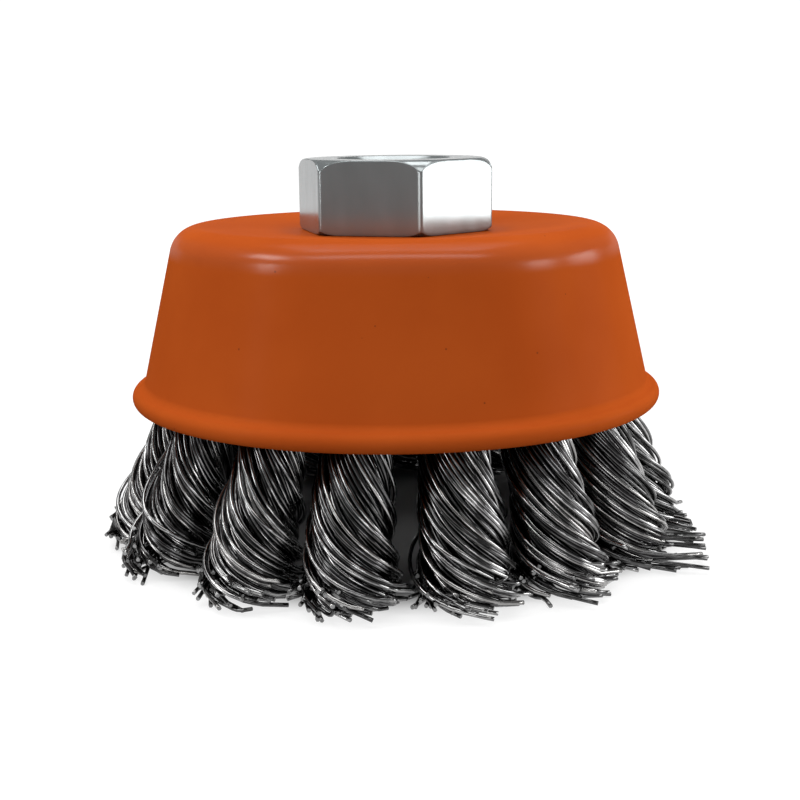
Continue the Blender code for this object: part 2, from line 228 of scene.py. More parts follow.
# The darkest wire colour serves the oily wires and also paints shade on the wires that lie deep.
OIL_AND_SHADE_DARK = (0.040, 0.0395, 0.039, 1.0)
OIL_MIDDLE = (0.130, 0.130, 0.131, 1.0)
WIRE_BRIGHT = (0.42, 0.418, 0.415, 1.0)
WORN_DARK = (0.20, 0.195, 0.19, 1.0)
WORN_BRIGHT = (0.42, 0.415, 0.41, 1.0)
CUT_DULL = (0.16, 0.16, 0.16, 1.0)
CUT_STEEL = (0.34, 0.34, 0.34, 1.0)


def smooth_step(share):
    """Zero below 0, one above 1, and smooth between."""
    share = np.clip(share, 0.0, 1.0)
    return share * share * (3.0 - 2.0 * share)


def knot_centre(height):
    """Distance of a knot's middle from the spindle's axis."""
    stations = [(KNOT_TOP_Z, KNOT_TOP_RADIUS), (KNOT_EXIT_Z, KNOT_EXIT_RADIUS),
                (0.0, KNOT_TIP_CENTRE_RADIUS)]
    total = 0.0
    for own, (own_z, radius) in enumerate(stations):
        weight = 1.0
        for other, (other_z, _) in enumerate(stations):
            if other != own:
                weight = weight * (height - other_z) / (own_z - other_z)
        total = total + radius * weight
    return total


def knot_half_widths(height):
    """Half widths of the rope along the line through its two legs, and across that line."""
    share = smooth_step((KNOT_TOP_Z - height) / (KNOT_TOP_Z - KNOT_EXIT_Z))
    upper_long = TOP_LONG + (RIM_HALF_WIDTH * (1 + PLY_OVAL) - TOP_LONG) * share
    upper_short = TOP_SHORT + (RIM_HALF_WIDTH * (1 - PLY_OVAL) - TOP_SHORT) * share
    share = np.clip((KNOT_EXIT_Z - height) / (KNOT_EXIT_Z - KNOT_END_Z), 0.0, 1.0)
    lower = RIM_HALF_WIDTH + (TIP_HALF_WIDTH - RIM_HALF_WIDTH) * share
    lower = np.where(height < KNOT_END_Z,
                     END_HALF_WIDTH + (TIP_HALF_WIDTH - END_HALF_WIDTH) * height / KNOT_END_Z,
                     lower)
    oval = PLY_OVAL * (1 - share)
    above = height > KNOT_EXIT_Z
    return (np.where(above, upper_long, lower * (1 + oval)),
            np.where(above, upper_short, lower * (1 - oval)))


rope_heights = np.linspace(KNOT_TOP_Z, 0.0, ROPE_STEPS + 1)
rope_fall = 1 - rope_heights / KNOT_TOP_Z
rope_lay = LAY_TOP + (LAY_TIP - LAY_TOP) * rope_fall ** LAY_GROWTH
rope_turn_rate = np.tan(rope_lay) / (sum(knot_half_widths(rope_heights)) / 2)
rope_step = KNOT_TOP_Z / ROPE_STEPS
rope_twist = np.concatenate([[0.0], np.cumsum((rope_turn_rate[1:] + rope_turn_rate[:-1]) / 2)])
rope_twist = rope_twist * rope_step
rope_progress = POINTS_BY_TWIST * rope_twist / rope_twist[-1] + POINTS_BY_FALL * rope_fall


def lay_wires(draw, phase, depth, legs, ride, bow, uneven_start):
    """One end of every hairpin, from the flat pair of legs down to where its cut end begins.

    phase and depth are the wire's place in the rope, legs its place in its leg, ride how far it
    wanders over its neighbours, bow how far it stands off the rope half way down, and
    uneven_start where the knot's own unevenness begins.
    """
    count = len(phase)
    cut_z = CUT_LOW_Z + CUT_RANGE_Z * draw.random(count) ** CUT_BIAS
    reach = np.interp(-cut_z, -rope_heights, rope_progress)
    progress = np.linspace(0.0, 1.0, BODY_POINTS)[None, :] * reach[:, None]
    height = np.interp(progress, rope_progress, rope_heights)
    twist = np.interp(progress, rope_progress, rope_twist)
    long_side, short_side = knot_half_widths(height)
    spread = (long_side + short_side) / 2

    wander = 0.0
    lift = 0.0
    for waves in WANDER_WAVES:
        start = draw.random((count, 1)) * 2 * math.pi
        wander = wander + np.sin(waves * 2 * math.pi * progress + start) / waves
        start = draw.random((count, 1)) * 2 * math.pi
        lift = lift + np.sin(waves * 2 * math.pi * progress + start) / waves
    loose = smooth_step(progress / SETTLED_SHARE)
    own = phase[:, None] + (WANDER + ride[:, None]) * wander * loose
    rim_fall = 1 - height / KNOT_TOP_Z
    uneven = (PLY_UNEVEN[0] * np.sin(2 * own + uneven_start[0])
              + PLY_UNEVEN[1] * np.sin(3 * own + uneven_start[1]))
    ply = (own + uneven) * PLIES / (2 * math.pi)
    own = own - PLY_CROWDING * np.sin(2 * math.pi * ply) * loose
    ridge = ((ply + 0.5) % 1.0 - 0.5) * 2
    flute = FLUTE_TOP + FLUTE_GROWTH * rim_fall
    swell = (ROPE_SWELL[0] * np.sin(own + uneven_start[2])
             + ROPE_SWELL[1] * np.sin(4 * own + uneven_start[3]))
    sink = depth[:, None] - (LIFT * lift + swell) * loose - RIDE_LIFT * ride[:, None] * loose
    below = (np.arange(count) % 2)[:, None] * (depth[:, None] < OUTER_DEPTH)
    sunk_share = smooth_step((rim_fall - SUNK_WIRE_START) / SUNK_WIRE_RUN)
    sink = sink + SUNK_WIRE_DEPTH * below * sunk_share
    outer = spread * (1 - flute * np.abs(ridge) ** FLUTE_SHAPE) * ROPE_FIT - WIRE_RADIUS - sink
    outer = outer + bow[:, None] * np.exp(-((height - BOW_Z) / BOW_LENGTH) ** 2)
    outer = np.maximum(outer, LEAST_REACH) / spread
    along = long_side * outer * np.cos(own)
    across = short_side * outer * np.sin(own)

    gather = smooth_step((height - GATHER_Z) / GATHER_LENGTH)
    side = np.sign(np.cos(phase))[:, None]
    leg_along = side * (LEG_OFFSET + (LEG_RADIUS - WIRE_RADIUS) * legs[:, :1])
    leg_across = (LEG_RADIUS - WIRE_RADIUS) * legs[:, 1:]
    along = along + (leg_along - along) * gather
    across = across + (leg_across - across) * gather
    return np.stack([knot_centre(height) + along * np.cos(twist) - across * np.sin(twist),
                     along * np.sin(twist) + across * np.cos(twist), height], axis=2)


def cut_ends(draw, wires, flare):
    """The last millimetres of every wire, straight where it has sprung out of the twist.

    flare is the direction in which loose ends sweep off the knot, its length in millimetres.
    """
    count = len(wires)
    heading = wires[:, -1] - wires[:, -2]
    heading = heading / np.linalg.norm(heading, axis=1, keepdims=True)
    outward = wires[:, -1] - np.array([KNOT_TIP_CENTRE_RADIUS, 0.0, 0.0])
    outward[:, 2] = 0.0
    outward = outward / np.maximum(np.linalg.norm(outward, axis=1, keepdims=True), 1.0)
    heading = heading + draw.normal(size=(count, 3)) * END_SCATTER
    heading = heading + outward * END_LEAN * draw.random((count, 1))
    heading[:, 2] = np.maximum(heading[:, 2], END_STEEPEST)
    along = heading @ flare / max(np.linalg.norm(flare), 1.0)
    loose = (along > 0.5) & (draw.random(count) < SWEPT_SHARE)
    heading = heading + loose[:, None] * flare * SWEEP_TURN
    heading = heading / np.linalg.norm(heading, axis=1, keepdims=True)
    stray = np.where(draw.random(count) < STRAY_SHARE, STRAY_LENGTH * draw.random(count), 0.0)
    length = END_LENGTH + END_LENGTH_RANGE * draw.random(count) + stray
    length = length + loose * np.linalg.norm(flare) * draw.random(count)
    hooked = (draw.random(count) < HOOKED_SHARE)[:, None]
    side_step = HOOK_REACH * draw.normal(size=(count, 3))
    ends = []
    for step in range(1, CUT_POINTS + 1):
        share = step / CUT_POINTS
        point = wires[:, -1] + heading * (length * share)[:, None]
        point = point + hooked * side_step * share ** 3 * HOOK_BEND
        ends.append(point)
    return np.stack(ends, axis=1)


def hairpins(draw, bows, flare):
    """Middle lines of all the wires of one knot, from cut end to cut end over the arch."""
    uneven_start = draw.random(4) * 2 * math.pi
    phase, depth = [], []
    for number, sunk in LAYERS:
        turn = (np.arange(number) + 0.5) / number * math.pi - math.pi / 2
        phase.append(turn + draw.normal(size=number) * SPACING_NOISE / number)
        depth.append(np.full(number, sunk))
    phase, depth = np.concatenate(phase), np.concatenate(depth)
    count = len(phase)
    place = 1 - depth / RIM_HALF_WIDTH
    legs = np.stack([(place * np.cos(phase) - LEG_SPLIT) / (1 - LEG_SPLIT),
                     place * np.sin(phase)], axis=1)
    legs = legs / np.maximum(np.linalg.norm(legs, axis=1, keepdims=True), 1.0)

    halves = []
    for mirrored in (False, True):
        own = math.pi - phase if mirrored else phase
        ride = np.where(draw.random(count) < RIDING_SHARE, RIDE_REACH * draw.random(count), 0.0)
        bow = np.zeros(count)
        for bow_side, bow_index, bow_height in bows:
            if bow_side == mirrored:
                bow[bow_index] = bow_height
        ride = np.where(depth > OUTER_DEPTH, 0.0, ride)
        body = lay_wires(draw, own, depth, legs, ride, bow, uneven_start)
        halves.append(np.concatenate([body, cut_ends(draw, body, flare)], axis=1))

    arch = []
    for step in range(ARCH_POINTS):
        angle = math.pi * step / (ARCH_POINTS - 1)
        bend = LEG_OFFSET + (LEG_RADIUS - WIRE_RADIUS) * legs[:, 0]
        arch.append(np.stack([KNOT_TOP_RADIUS + bend * math.cos(angle),
                              (LEG_RADIUS - WIRE_RADIUS) * legs[:, 1],
                              ARCH_Z + bend * math.sin(angle)], axis=1))
    arch = np.stack(arch, axis=1)
    return np.concatenate([halves[0][:, ::-1], arch, halves[1]], axis=1)


def keep_in(values, low, high, ease):
    """Values bent back smoothly so that none passes the low or the high limit."""
    over = np.maximum(values - (high - ease), 0.0)
    under = np.maximum(low + ease - values, 0.0)
    values = np.clip(values, low + ease, high - ease)
    return values + ease * (1 - np.exp(-over / ease)) - ease * (1 - np.exp(-under / ease))


def wire_mesh(name, lines, radius, sides, tones, cut_tone):
    """Round wires with cut ends, swept along their middle lines, as one mesh in metres.

    tones gives each wire's finish by its number, and cut_tone that of the cut faces.
    """
    count, points, _ = lines.shape
    heading = np.gradient(lines, axis=1)
    heading = heading / np.linalg.norm(heading, axis=2, keepdims=True)
    no_wire_runs_so = np.array([0.31, 0.87, 0.38])
    up = np.cross(heading[:, 0], no_wire_runs_so)
    rings = np.empty((count, points, sides, 3))
    turn = np.arange(sides) * 2 * math.pi / sides
    for index in range(points):
        up = up - heading[:, index] * np.sum(up * heading[:, index], axis=1, keepdims=True)
        up = up / np.linalg.norm(up, axis=1, keepdims=True)
        side = np.cross(heading[:, index], up)
        rings[:, index] = (lines[:, index, None]
                           + radius * np.cos(turn)[None, :, None] * up[:, None]
                           + radius * np.sin(turn)[None, :, None] * side[:, None])
    first = np.arange(count)[:, None, None] * points * sides
    row = np.arange(points - 1)[None, :, None] * sides
    corner = np.arange(sides)[None, None, :]
    after = (corner + 1) % sides
    quads = np.stack(np.broadcast_arrays(first + row + corner, first + row + after,
                                         first + row + sides + after,
                                         first + row + sides + corner), axis=3).reshape(-1, 4)
    ends = np.arange(sides)
    start_caps = first[:, 0] + ends[::-1][None, :]
    end_caps = first[:, 0] + (points - 1) * sides + ends[None, :]
    caps = np.concatenate([start_caps, end_caps])
    mesh = bpy.data.meshes.new(name)
    corners = rings.reshape(-1, 3) * 0.001
    mesh.vertices.add(len(corners))
    mesh.vertices.foreach_set("co", corners.ravel())
    loops = np.concatenate([quads.ravel(), caps.ravel()]).astype(np.int32)
    mesh.loops.add(len(loops))
    mesh.loops.foreach_set("vertex_index", loops)
    sizes = np.concatenate([np.full(len(quads), 4), np.full(len(caps), sides)]).astype(np.int32)
    mesh.polygons.add(len(sizes))
    mesh.polygons.foreach_set("loop_start", (np.cumsum(sizes) - sizes).astype(np.int32))
    mesh.polygons.foreach_set("use_smooth", np.arange(len(sizes)) < len(quads))
    tone = np.concatenate([np.repeat(tones, (points - 1) * sides), np.full(len(caps), cut_tone)])
    mesh.polygons.foreach_set("material_index", tone.astype(np.int32))
    mesh.update(calc_edges=True)
    mesh.validate()
    return mesh


def oiled_wire(name, dark, light, rough_low, rough_high):
    """Drawn spring steel under a film of oil: patchy, with a finely uneven skin."""
    finish, tree, shader = new_finish(name, 1.0)
    tint(tree, shader, cloud(tree, 420.0, 4.0), [(0.35, dark), (0.68, light)])
    sheen_range(tree, shader, cloud(tree, 1500.0, 2.0), rough_low, rough_high)
    relief(tree, shader, cloud(tree, 1600.0, 2.0), 0.0000015)
    return finish


wire_finishes = [
    oiled_wire("wire_oily_and_shade", OIL_AND_SHADE_DARK, OIL_MIDDLE, 0.07, 0.13),
    oiled_wire("wire_plain", OIL_MIDDLE, WIRE_BRIGHT, 0.08, 0.15),
    oiled_wire("wire_worn", WORN_DARK, WORN_BRIGHT, 0.16, 0.26),
    oiled_wire("wire_cut_end", CUT_DULL, CUT_STEEL, 0.30, 0.45),
]
# Wires bowed off a knot: knot number, then (on the hairpin's second leg, wire, millimetres).
STANDING_WIRES = {
    14: [(False, 7, 1.8), (False, 9, 1.3), (True, 4, 1.5)],
    2: [(True, 12, 1.8), (False, 5, 1.4), (False, 14, 1.2)],
    4: [(False, 3, 1.2)],
}
# Knots that stand a little round from their hole, in degrees, as knots do after twisting. The
# shift starts at a height and is whole a little lower.
KNOT_SHIFT = {14: -1.2, 15: 2.2, 1: 0.5, 3: -1.6, 7: 1.2, 9: -1.5, 11: 0.9}
SHIFT_Z = 24.0
SHIFT_LENGTH = 10.0
# How far the ends of a knot sweep off to the right, in millimetres.
KNOT_FLARE = {4: 9.0, 5: 9.0, 3: 3.0, 2: 2.0, 6: 3.0}
LEAST_FLARE = 0.5
FIRST_SEED = 700

for number in range(1, KNOT_COUNT + 1):
    draw = np.random.default_rng(FIRST_SEED + number)
    angle = FIRST_KNOT_ANGLE + 2 * math.pi * (number - 1) / KNOT_COUNT
    sweep = KNOT_FLARE.get(number, LEAST_FLARE)
    flare = sweep * np.array([math.cos(angle), -math.sin(angle), 0.0])
    lines = hairpins(draw, STANDING_WIRES.get(number, []), flare)
    shift_share = smooth_step((SHIFT_Z - lines[..., 2]) / SHIFT_LENGTH)
    shift = math.radians(KNOT_SHIFT.get(number, 0.0)) * shift_share
    across = lines[..., 0] * np.cos(angle + shift) - lines[..., 1] * np.sin(angle + shift)
    deep = lines[..., 0] * np.sin(angle + shift) + lines[..., 1] * np.cos(angle + shift)
    room = WIRE_RADIUS + BOX_MARGIN
    across = keep_in(across, cad_low.x * 1000 + room, cad_high.x * 1000 - room, BOX_EASE)
    deep = keep_in(deep, cad_low.y * 1000 + room, cad_high.y * 1000 - room, BOX_EASE)
    lines = np.stack([across, deep, np.maximum(lines[..., 2], room)], axis=2)
    tones = draw.choice(3, size=len(lines), p=TONE_SHARES)
    wire_places = np.arange(len(lines))
    # Sunk and inner wires mostly get the dark oily finish: painted shade in the depths of the
    # rope.
    deep_shaded_wires = (wire_places % 2 == 1) | (wire_places >= LAYERS[0][0])
    tones = np.where(deep_shaded_wires & (draw.random(len(lines)) < DEEP_SHADED_SHARE), 0, tones)
    mesh = wire_mesh(f"knot_{number:02d}_wires", lines, WIRE_RADIUS, WIRE_SIDES, tones, 3)
    for finish in wire_finishes:
        mesh.materials.append(finish)
    wires = bpy.data.objects.new(f"knot_{number:02d}_wires", mesh)
    bpy.context.scene.collection.objects.link(wires)
    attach(wires, "root")
    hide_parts(f"knot_{number:02d}")

# Cup
# A bell pressed from 1.2 mm steel, its rim folded outwards into a bead, and painted orange.
# The paint is satin with a light orange peel and a few specks caught in it.

CUP_TOP_Z = 40.4
CUP_SEAT_Z = 39.5
SEAT_RADIUS = 13.0
CUP_WALL = 1.2
CUP_TAPER = math.radians(12.95)
SHOULDER_RADIUS = 3.7
BEAD_CENTRE = (32.4, 19.3)
BEAD_RADIUS = 1.2
BEAD_NECK_RADIUS = 1.2
SPIGOT_HOLE_RADIUS = 8.7
HEM_RADIUS = 0.15
CUP_COLUMNS = 256
PAINT_DEEP = (0.400, 0.067, 0.0095, 1.0)
PAINT_ORANGE = (0.440, 0.078, 0.0115, 1.0)
PAINT_SPECK = (0.22, 0.045, 0.010, 1.0)
SPECK_GRAIN = 260.0
SPECK_SIZE = 0.035
# The paint dries glossier where it ran together on the shoulder: (height, weight of the film).
PAINT_FILM = [(18.0, 0.003), (36.4, 0.003), (38.0, 0.16), (39.0, 0.16), (39.8, 0.035)]
FILM_SPAN = 50.0


def arc(centre, radius, start, end, steps):
    """Points on an arc of a section, from one angle to another."""
    angles = np.linspace(start, end, steps + 1)
    return [(centre[0] + radius * math.cos(angle), centre[1] + radius * math.sin(angle))
            for angle in angles]


def ring_mesh(name, radii, heights, angles):
    """Closed ring surface from grids of radius and height: rows round the section, columns
    round the axis."""
    rows, columns = radii.shape
    corners = np.stack([radii * np.cos(angles), radii * np.sin(angles), heights], axis=2)
    row = np.arange(rows)[:, None] * columns
    next_row = (np.arange(rows)[:, None] + 1) % rows * columns
    column = np.arange(columns)[None, :]
    next_column = (column + 1) % columns
    quads = np.stack([row + column, next_row + column, next_row + next_column,
                      row + next_column], axis=2).reshape(-1, 4)
    mesh = bpy.data.meshes.new(name)
    mesh.from_pydata((corners.reshape(-1, 3) * 0.001).tolist(), [], quads.tolist())
    mesh.update()
    mesh.shade_smooth()
    return mesh


def cup_section():
    """The cup's section, down its outside and up its inside."""
    normal = (math.cos(CUP_TAPER), math.sin(CUP_TAPER))
    bead_offset = BEAD_CENTRE[0] * normal[0] + BEAD_CENTRE[1] * normal[1]
    skirt = bead_offset - BEAD_RADIUS + CUP_WALL
    shoulder_z = CUP_TOP_Z - SHOULDER_RADIUS
    shoulder = ((skirt - SHOULDER_RADIUS - shoulder_z * normal[1]) / normal[0], shoulder_z)
    run, rise = shoulder[0] - SEAT_RADIUS, shoulder_z - CUP_SEAT_Z
    slope = math.atan2(rise, run) + math.asin(SHOULDER_RADIUS / math.hypot(run, rise))
    reach = BEAD_RADIUS + BEAD_NECK_RADIUS
    neck_angle = CUP_TAPER + math.acos((skirt + BEAD_NECK_RADIUS - bead_offset) / reach)
    neck = (BEAD_CENTRE[0] + reach * math.cos(neck_angle),
            BEAD_CENTRE[1] + reach * math.sin(neck_angle))
    hem_z = CUP_SEAT_Z - HEM_RADIUS
    section = arc((SPIGOT_HOLE_RADIUS + HEM_RADIUS, hem_z), HEM_RADIUS, math.pi, math.pi / 2, 3)
    section += [(SEAT_RADIUS - 0.8, CUP_SEAT_Z), (SEAT_RADIUS, CUP_SEAT_Z + 0.01)]
    for step in (1, 4, 8):
        section.append((SEAT_RADIUS + step, CUP_SEAT_Z + step * math.tan(slope)))
    section += arc(shoulder, SHOULDER_RADIUS, math.pi / 2 + slope, CUP_TAPER, 22)
    lower = arc(neck, BEAD_NECK_RADIUS, math.pi + CUP_TAPER, math.pi + neck_angle, 8)
    top_of_skirt, foot_of_skirt = section[-1], lower[0]
    for step in range(1, 8):
        share = step / 8
        section.append((top_of_skirt[0] + (foot_of_skirt[0] - top_of_skirt[0]) * share,
                        top_of_skirt[1] + (foot_of_skirt[1] - top_of_skirt[1]) * share))
    section += lower
    section += arc(BEAD_CENTRE, BEAD_RADIUS, neck_angle, CUP_TAPER - math.pi, 26)[1:]
    section += arc(shoulder, SHOULDER_RADIUS - CUP_WALL, CUP_TAPER, math.pi / 2 + slope, 10)
    section.append((SEAT_RADIUS + CUP_WALL * math.tan(slope / 2), CUP_SEAT_Z - CUP_WALL))
    section += arc((SPIGOT_HOLE_RADIUS + HEM_RADIUS, CUP_SEAT_Z - CUP_WALL + HEM_RADIUS),
                   HEM_RADIUS, -math.pi / 2, -math.pi, 3)
    return np.array(section)


cup_paint, tree, shader = new_finish("cup_paint", 0.0)
tint(tree, shader, cloud(tree, 60.0, 5.0), [(0.35, PAINT_DEEP), (0.65, PAINT_ORANGE)])
sheen_range(tree, shader, cloud(tree, 400.0, 3.0), 0.42, 0.50)
shader.inputs["Specular IOR Level"].default_value = 0.0
# The film's weight follows the height on the cup, along a ramp of FILM_SPAN millimetres.
place = tree.nodes.new("ShaderNodeTexCoord")
axes = tree.nodes.new("ShaderNodeSeparateXYZ")
tree.links.new(place.outputs["Object"], axes.inputs["Vector"])
thicker = tree.nodes.new("ShaderNodeValToRGB")
thicker.color_ramp.interpolation = "EASE"
for height, weight in PAINT_FILM:
    stop = thicker.color_ramp.elements.new(height / FILM_SPAN)
    stop.color = (weight, weight, weight, 1.0)
thicker.color_ramp.elements.remove(thicker.color_ramp.elements[-1])
thicker.color_ramp.elements.remove(thicker.color_ramp.elements[0])
scaled = tree.nodes.new("ShaderNodeMath")
scaled.operation = "MULTIPLY"
scaled.inputs[1].default_value = 1000.0 / FILM_SPAN
tree.links.new(axes.outputs["Z"], scaled.inputs[0])
tree.links.new(scaled.outputs["Value"], thicker.inputs["Fac"])
tree.links.new(thicker.outputs["Color"], shader.inputs["Coat Weight"])
shader.inputs["Coat Roughness"].default_value = 0.22
shader.inputs["Coat IOR"].default_value = 2.2
relief(tree, shader, cloud(tree, 700.0, 2.0), 0.00002)
# Dark specks of dust under the paint.
specks = tree.nodes.new("ShaderNodeTexVoronoi")
specks.inputs["Scale"].default_value = SPECK_GRAIN
tree.links.new(place.outputs["Object"], specks.inputs["Vector"])
near = tree.nodes.new("ShaderNodeMath")
near.operation = "LESS_THAN"
near.inputs[1].default_value = SPECK_SIZE
tree.links.new(specks.outputs["Distance"], near.inputs[0])
painted = shader.inputs["Base Color"].links[0].from_socket
mix = tree.nodes.new("ShaderNodeMix")
mix.data_type = "RGBA"
tree.links.new(near.outputs["Value"], mix.inputs["Factor"])
tree.links.new(painted, mix.inputs["A"])
mix.inputs["B"].default_value = PAINT_SPECK
tree.links.new(mix.outputs["Result"], shader.inputs["Base Color"])

section = cup_section()
columns = np.arange(CUP_COLUMNS) * 2 * math.pi / CUP_COLUMNS
radii = np.repeat(section[:, :1], CUP_COLUMNS, axis=1)
heights = np.repeat(section[:, 1:], CUP_COLUMNS, axis=1)
mesh = ring_mesh("painted_cup", radii, heights, columns[None, :])
mesh.materials.append(cup_paint)
cup = bpy.data.objects.new("painted_cup", mesh)
bpy.context.scene.collection.objects.link(cup)
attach(cup, "root")
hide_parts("cup")

# Arbor nut
# Turned from 22 mm hexagon bar, with a rounded crown and an M14 thread cut through it. Its
# spigot goes down through the cup and the holder and is swaged out below. Bright zinc plate.

NUT_TOP_Z = 48.5
NUT_APOTHEM = 11.0
NUT_TURN = math.radians(-75.3)
NUT_CORNER_RADIUS = 0.7
TOP_RING_RADIUS = 10.3
CROWN_WIDTH = 1.8
CROWN_DEPTH = 2.5
CROWN_START = 10.902
FOOT_Z = CUP_SEAT_Z + 0.01
FOOT_START = 11.5
FOOT_EDGE_RADIUS = 1.15
EDGE_BREAK = 0.16
# The broken edge in steps: (share of the break inwards, share of it up or down).
EDGE_STEPS = [(0.62, 0.92), (0.29, 0.71), (0.08, 0.38)]
# Columns of points, which crowd towards the corners.
COLUMNS_PER_CORNER = 40
CORNER_CROWDING = 1.7
THREAD_ROW = 0.25
BORE_RADIUS = 5.92
BORE_CHAMFER = 1.3
THREAD_PITCH = 2.0
THREAD_DEPTH = 1.05
THREAD_FLANK = 2.5
THREAD_CREST = 0.2
SPIGOT_RADIUS = 8.4
LIP_RADIUS = 10.3
LIP_ROUND = 0.5
LIP_TOP_Z = 35.55
LIP_END_Z = 33.95
ZINC_DARK = (0.225, 0.246, 0.250, 1.0)
ZINC_LIGHT = (0.252, 0.275, 0.279, 1.0)

sector = np.linspace(-1.0, 1.0, COLUMNS_PER_CORNER, endpoint=False)
sector = np.sign(sector) * np.abs(sector) ** CORNER_CROWDING * math.pi / 6
from_corner = np.tile(sector, 6)
nut_angles = NUT_TURN + from_corner + np.repeat(np.arange(6), COLUMNS_PER_CORNER) * math.pi / 3
corner_reach = (NUT_APOTHEM - NUT_CORNER_RADIUS) / math.cos(math.pi / 6)
corner_arc = (corner_reach * np.cos(from_corner)
              + np.sqrt(np.maximum(NUT_CORNER_RADIUS ** 2
                                   - (corner_reach * np.sin(from_corner)) ** 2, 0.0)))
flat = NUT_APOTHEM / np.cos(math.pi / 6 - np.abs(from_corner))
corner_end = math.atan2(NUT_CORNER_RADIUS / 2,
                        corner_reach + NUT_CORNER_RADIUS * math.cos(math.pi / 6))
bar = np.where(np.abs(from_corner) < corner_end, corner_arc, flat)
round_bar = np.ones_like(bar)
nut_rows = []


def nut_row(radius, height):
    """One more row of the nut's section; each value is a number or one value a column."""
    nut_rows.append((radius * round_bar, height * round_bar))


def crown_z(radius):
    """Height of the turned crown at a radius."""
    out = np.maximum(radius - CROWN_START, 0.0)
    return NUT_TOP_Z - CROWN_DEPTH * (1.0 - np.sqrt(1.0 - (out / CROWN_WIDTH) ** 2))


def foot_z(radius):
    """Height of the nut's rounded lower edge at a radius."""
    out = np.maximum(radius - FOOT_START, 0.0)
    return FOOT_Z + FOOT_EDGE_RADIUS - np.sqrt(FOOT_EDGE_RADIUS ** 2 - out ** 2)


mouth = BORE_RADIUS + BORE_CHAMFER
nut_row(mouth + EDGE_BREAK, NUT_TOP_Z)
for radius in (8.3, 9.4, TOP_RING_RADIUS):
    nut_row(radius, NUT_TOP_Z)
for share in (0.25, 0.45, 0.60, 0.72, 0.83, 0.92, 1.0):
    radius = TOP_RING_RADIUS + (bar - EDGE_BREAK - TOP_RING_RADIUS) * share
    nut_row(radius, crown_z(radius))
face_top = crown_z(bar - EDGE_BREAK) - EDGE_BREAK
face_foot = foot_z(bar - EDGE_BREAK) + EDGE_BREAK
for inward, rise in EDGE_STEPS:
    nut_row(bar - EDGE_BREAK * inward, face_top + EDGE_BREAK * rise)
nut_row(bar, face_top)
for share in (0.03, 0.33, 0.67, 0.97):
    nut_row(bar, face_top + (face_foot - face_top) * share)
nut_row(bar, face_foot)
for inward, drop in EDGE_STEPS[:0:-1]:
    nut_row(bar - EDGE_BREAK * inward, face_foot - EDGE_BREAK * drop)
for share in (1.0, 0.85, 0.65, 0.4):
    radius = TOP_RING_RADIUS + (bar - EDGE_BREAK - TOP_RING_RADIUS) * share
    nut_row(radius, foot_z(radius))
for radius, height in [(9.5, FOOT_Z), (SPIGOT_RADIUS, FOOT_Z),
                       (SPIGOT_RADIUS, CUP_SEAT_Z - 0.2), (SPIGOT_RADIUS, LIP_TOP_Z + 0.1),
                       (SPIGOT_RADIUS, LIP_TOP_Z), (LIP_RADIUS - 0.2, LIP_TOP_Z)]:
    nut_row(radius, height)
lip_outside = arc((LIP_RADIUS - LIP_ROUND, LIP_END_Z + LIP_ROUND), LIP_ROUND,
                  0.3, -math.pi / 2, 6)
lip_inside = arc((BORE_RADIUS + LIP_ROUND, LIP_END_Z + LIP_ROUND), LIP_ROUND,
                 -math.pi / 2, -math.pi, 5)
for radius, height in lip_outside + lip_inside:
    nut_row(radius, height)
for height in np.arange(LIP_END_Z + 0.75, NUT_TOP_Z - 0.05, THREAD_ROW):
    turn = (height / THREAD_PITCH - nut_angles / (2 * math.pi)) % 1.0
    groove = np.clip((0.5 - np.abs(turn - 0.5)) * THREAD_FLANK - THREAD_CREST, 0.0, 1.0)
    groove = groove * THREAD_DEPTH
    chamfer = BORE_RADIUS + max(height - (NUT_TOP_Z - BORE_CHAMFER), 0.0)
    nut_row(np.maximum(BORE_RADIUS + groove, chamfer), height)
nut_row(mouth, NUT_TOP_Z - 0.03)

radii = np.stack([row[0] for row in nut_rows])
heights = np.stack([row[1] for row in nut_rows])
mesh = ring_mesh("arbor_nut_m14", radii, heights, nut_angles[None, :])
mesh.set_sharp_from_angle(angle=math.radians(30.0))

zinc, tree, shader = new_finish("nut_zinc", 0.6)
tint(tree, shader, cloud(tree, 300.0, 4.0, (1.0, 1.0, 0.35)),
     [(0.35, ZINC_DARK), (0.65, ZINC_LIGHT)])
sheen_range(tree, shader, cloud(tree, 900.0, 3.0, (1.0, 1.0, 0.3)), 0.19, 0.24)
relief(tree, shader, cloud(tree, 1800.0, 2.0, (1.0, 1.0, 0.5)), 0.000003)
mesh.materials.append(zinc)
nut = bpy.data.objects.new("arbor_nut_m14", mesh)
bpy.context.scene.collection.objects.link(nut)
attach(nut, "root")
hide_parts("arbor_nut")

# Floor, lights and camera
# The brush stands on a table of plain pale paper, with a low white backdrop behind, in a grey
# room. Soft lights hang above and in front, and stand low at the left, right and back right.
# The table ends a little in front of the camera, so the metal mirrors the room there.

TABLE_HALF = 1.2
TABLE_FRONT = -0.14
BACKDROP_HEIGHT = 0.25
PAPER_GREY = (0.26, 0.26, 0.26, 1.0)
# Under the brush the paper loses its white glow and shows only as lit by the lamps, a darker
# patch painted in as shade; further out it shows as white.
PAINTED_SHADE_CENTRE = (0.0, 0.006, 0.0)
PAINTED_SHADE_EDGE = (0.030, 0.040)
FAR_PAPER = (0.10, 0.40)
TABLE_GLOW = 0.80
TABLE_FAR_GLOW = 0.20
BACKDROP_GLOW = 1.0
ROOM_LEVEL = 0.24


def faded(tree, source, start, end):
    """Zero where the source is start or less, one where it is end or more."""
    fade = tree.nodes.new("ShaderNodeMapRange")
    fade.interpolation_type = "SMOOTHSTEP"
    fade.inputs["From Min"].default_value = start
    fade.inputs["From Max"].default_value = end
    tree.links.new(source, fade.inputs["Value"])
    return fade.outputs["Result"]


